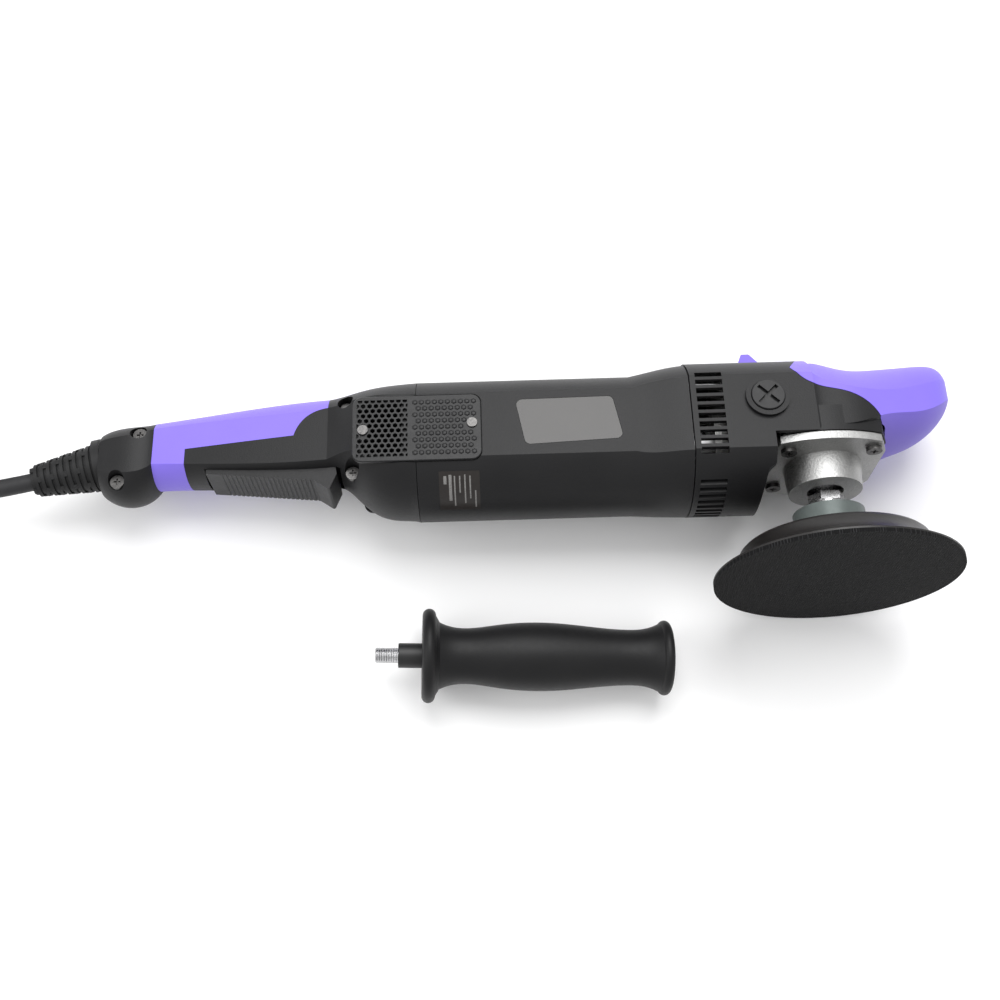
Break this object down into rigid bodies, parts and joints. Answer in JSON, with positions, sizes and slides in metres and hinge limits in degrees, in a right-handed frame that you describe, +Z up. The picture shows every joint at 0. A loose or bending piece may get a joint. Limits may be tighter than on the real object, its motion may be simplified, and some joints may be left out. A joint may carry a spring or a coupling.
{
  "type": "dual action polisher",
  "caption": "Corded orbital polisher with a long motor body, angled gear head, hook-faced backing plate, trigger handle and a loose screw-in side handle.",
  "frame": {"origin": "centre of the footprint of the tool and its side handle on the bench, without the cord", "axes": "+X along the tool from cord to nose, +Z up off the bench, the tool lying on its left side with its backing plate towards -Y"},
  "size_m": [0.6965, 0.2422, 0.1206],
  "materials": {
    "black_plastic": "fine-textured moulded nylon, black",
    "black_cover": "moulded nylon, black, satin",
    "purple_grip": "soft-touch overmould, violet",
    "soft_black": "soft rubber, black",
    "cast_aluminium": "blasted die casting",
    "machined_hub": "grey coated, satin",
    "steel": "bright ground steel",
    "dark_screw": "black-oxide steel",
    "zinc_stud": "bright zinc plate",
    "laminations": "stacked steel sheet",
    "copper": "enamelled copper wire",
    "brass": "bare brass",
    "carbon": "pressed graphite",
    "fan_plastic": "natural nylon",
    "pad_foam": "moulded polyurethane, black",
    "hook_fabric": "woven hook tape, black",
    "badge": "smooth satin inlay, black",
    "cord_rubber": "rubber cord sheath, black"
  },
  "bodies": {
    "tool": {"bearing_flange": "cast_aluminium", "brush_holders": "brass", "brush_springs": "steel", "carbon_brushes": "carbon", "cord_clamp": "black_cover", "cord_coil": "cord_rubber", "cord_tail": "cord_rubber", "field_windings": "copper", "flange_screws": "steel", "front_bearing": "steel", "gear_case": "cast_aluminium", "handle_grip_left": "purple_grip", "handle_grip_right": "purple_grip", "handle_shell_left": "black_plastic", "handle_shell_right": "black_plastic", "head_cover": "black_plastic", "head_screws": "steel", "lock_spring": "steel", "lower_spindle_bearing": "steel", "mains_cord": "cord_rubber", "motor_end_frame": "black_cover", "motor_housing": "black_plastic", "nose_grip": "purple_grip", "plug_body": "soft_black", "plug_pins": "steel", "port_cap": "black_cover", "rear_bearing": "steel", "ring_gear": "steel", "shell_screws": "dark_screw", "side_badges": "badge", "stator_core": "laminations", "strain_relief": "soft_black", "trigger_pivot_pin": "steel", "trigger_spring": "steel", "trigger_switch": "black_cover", "upper_spindle_bearing": "steel", "vent_cover_left": "black_cover", "vent_cover_right": "black_cover", "vent_cover_screws": "dark_screw"},
    "armature": {"armature_shaft": "steel", "armature_core": "laminations", "armature_windings": "copper", "commutator": "copper", "cooling_fan": "fan_plastic", "lock_collar": "steel", "bevel_pinion": "steel"},
    "spindle": {"main_spindle": "steel", "crown_gear": "steel", "pad_bearing": "steel"},
    "pad": {"pad_spindle": "zinc_stud", "planet_pinion": "steel", "plate_hub": "machined_hub", "backing_plate": "pad_foam", "hook_face": "hook_fabric"},
    "trigger": {"trigger": "black_cover"},
    "lock_button": {"lock_button": "purple_grip", "lock_pin": "steel"},
    "side_handle": {"side_handle_grip": "soft_black", "side_handle_stud": "zinc_stud"}
  },
  "joints": [
    {"name": "spindle_spin", "type": "hinge", "parent": "tool", "child": "spindle", "pos_m": [0.17132, 0.04016, 0.04272], "axis": [0.0081, 0.9582, -0.2861], "continuous": true},
    {"name": "armature_spin", "type": "hinge", "parent": "tool", "child": "armature", "pos_m": [0.07136, 0.04016, 0.03989], "axis": [0.9996, 0, 0.0283], "continuous": true},
    {"name": "pad_spin", "type": "hinge", "parent": "spindle", "child": "pad", "pos_m": [0.17212, -0.00884, 0.05337], "axis": [0.0081, 0.9582, -0.2861], "continuous": true},
    {"name": "trigger_press", "type": "hinge", "parent": "tool", "child": "trigger", "pos_m": [-0.14363, 0.03154, 0.03637], "axis": [-0.0272, 0.2862, 0.9578], "range_deg": [0, 7], "stiffness_Nm_per_rad": 0.8, "springref_deg": -8.59, "deforming": ["trigger_spring"]},
    {"name": "lock_press", "type": "slide", "parent": "tool", "child": "lock_button", "axis": [-0.0081, -0.9582, 0.2861], "range_m": [0, 0.0035], "stiffness_N_per_m": 400, "springref_m": -0.002, "deforming": ["lock_spring"]},
    {"name": "side_handle_lift", "type": "slide", "parent": "tool", "child": "side_handle", "axis": [0, 0, 1], "range_m": [0, 0.15]}
  ],
  "couplings": [
    {"joint": "armature_spin", "follows": "spindle_spin", "ratio": 3.3636},
    {"joint": "pad_spin", "follows": "spindle_spin", "ratio": -1.4}
  ]
}
